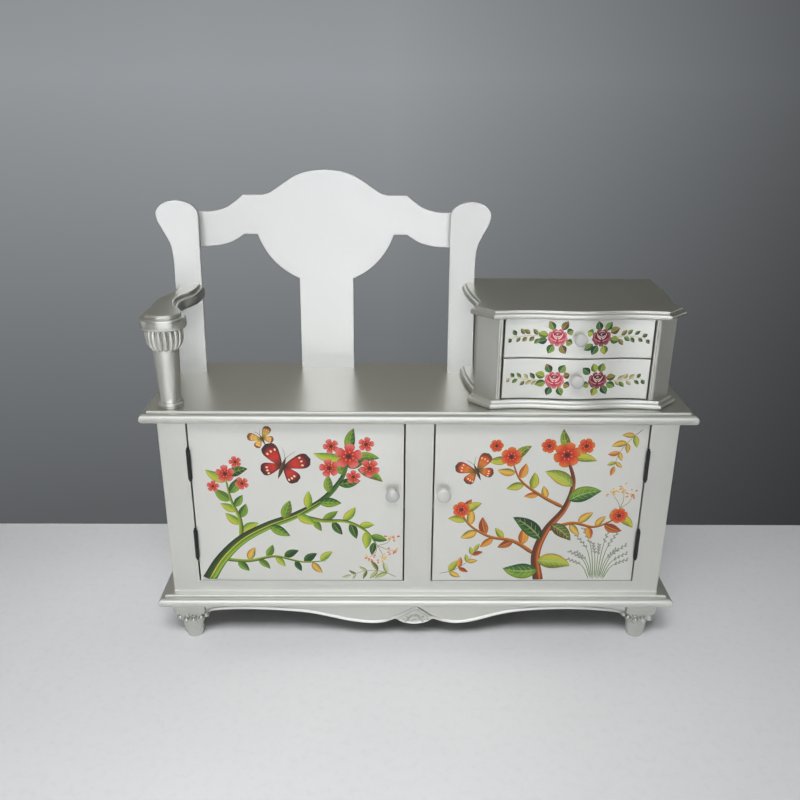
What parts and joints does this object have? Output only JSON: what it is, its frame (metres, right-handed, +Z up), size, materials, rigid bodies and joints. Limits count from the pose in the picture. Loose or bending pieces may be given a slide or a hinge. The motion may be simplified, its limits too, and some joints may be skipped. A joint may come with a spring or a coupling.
{
  "type": "shoe storage bench",
  "caption": "Hall bench with a hinged-door shoe cabinet under the seat, a shaped back with an arm rest at the left, and a small chest of drawers on the right end of the seat.",
  "frame": {"origin": "on the floor, under the middle of the object's bounding box", "axes": "+Z up, -Y is the front with the doors, +X is to the right when facing the front"},
  "size_m": [0.998, 0.3034, 0.885],
  "materials": {
    "pearl_paint": "satin pearl paint over wood",
    "cream_panel": "satin off-white paint with painted flower decoration",
    "white_knob": "gloss white paint",
    "inner_board": "matt paint",
    "back_board": "bare fibreboard",
    "drawer_wood": "clear sealed wood",
    "black_hinge": "black lacquer on steel",
    "catch_body": "white plastic"
  },
  "bodies": {
    "cabinet": {"bench_top": "pearl_paint", "base_plinth": "pearl_paint", "side_panel_left": "pearl_paint", "side_panel_right": "pearl_paint", "stile_left": "pearl_paint", "stile_right": "pearl_paint", "stile_centre": "pearl_paint", "bottom_rail": "pearl_paint", "apron_front": "pearl_paint", "apron_left": "pearl_paint", "apron_right": "pearl_paint", "foot_front_left": "pearl_paint", "foot_front_right": "pearl_paint", "foot_rear_left": "pearl_paint", "foot_rear_right": "pearl_paint", "back_post_left": "pearl_paint", "back_post_right": "pearl_paint", "crest_splat": "pearl_paint", "arm_rest": "pearl_paint", "arm_post": "pearl_paint", "chest_top": "pearl_paint", "chest_base": "pearl_paint", "chest_side_left": "pearl_paint", "chest_side_right": "pearl_paint", "shelf_left": "inner_board", "shelf_right": "inner_board", "centre_divider": "inner_board", "back_panel": "back_board", "chest_back": "back_board", "chest_dust_panel": "drawer_wood", "hinge_left_lower_frame_leaf": "black_hinge", "hinge_left_lower_pin": "black_hinge", "hinge_left_upper_frame_leaf": "black_hinge", "hinge_left_upper_pin": "black_hinge", "hinge_right_lower_frame_leaf": "black_hinge", "hinge_right_lower_pin": "black_hinge", "hinge_right_upper_frame_leaf": "black_hinge", "hinge_right_upper_pin": "black_hinge", "catch_left": "catch_body", "catch_right": "catch_body"},
    "door_left": {"door_left": "cream_panel", "door_knob_left": "white_knob", "hinge_left_lower_door_leaf": "black_hinge", "hinge_left_upper_door_leaf": "black_hinge"},
    "door_right": {"door_right": "cream_panel", "door_knob_right": "white_knob", "hinge_right_lower_door_leaf": "black_hinge", "hinge_right_upper_door_leaf": "black_hinge"},
    "drawer_upper": {"drawer_upper_front": "cream_panel", "drawer_upper_side_left": "drawer_wood", "drawer_upper_side_right": "drawer_wood", "drawer_upper_back": "drawer_wood", "drawer_upper_bottom": "drawer_wood", "drawer_upper_knob": "white_knob"},
    "drawer_lower": {"drawer_lower_front": "cream_panel", "drawer_lower_side_left": "drawer_wood", "drawer_lower_side_right": "drawer_wood", "drawer_lower_back": "drawer_wood", "drawer_lower_bottom": "drawer_wood", "drawer_lower_knob": "white_knob"}
  },
  "joints": [
    {"name": "door_left_hinge", "type": "hinge", "parent": "cabinet", "child": "door_left", "pos_m": [-0.41925, -0.13116, 0.306], "axis": [0, 0, -1], "range_deg": [0, 170]},
    {"name": "door_right_hinge", "type": "hinge", "parent": "cabinet", "child": "door_right", "pos_m": [0.41925, -0.13116, 0.306], "axis": [0, 0, 1], "range_deg": [0, 170]},
    {"name": "drawer_upper_slide", "type": "slide", "parent": "cabinet", "child": "drawer_upper", "axis": [0, -1, 0], "range_m": [0, 0.16]},
    {"name": "drawer_lower_slide", "type": "slide", "parent": "cabinet", "child": "drawer_lower", "axis": [0, -1, 0], "range_m": [0, 0.16]}
  ]
}
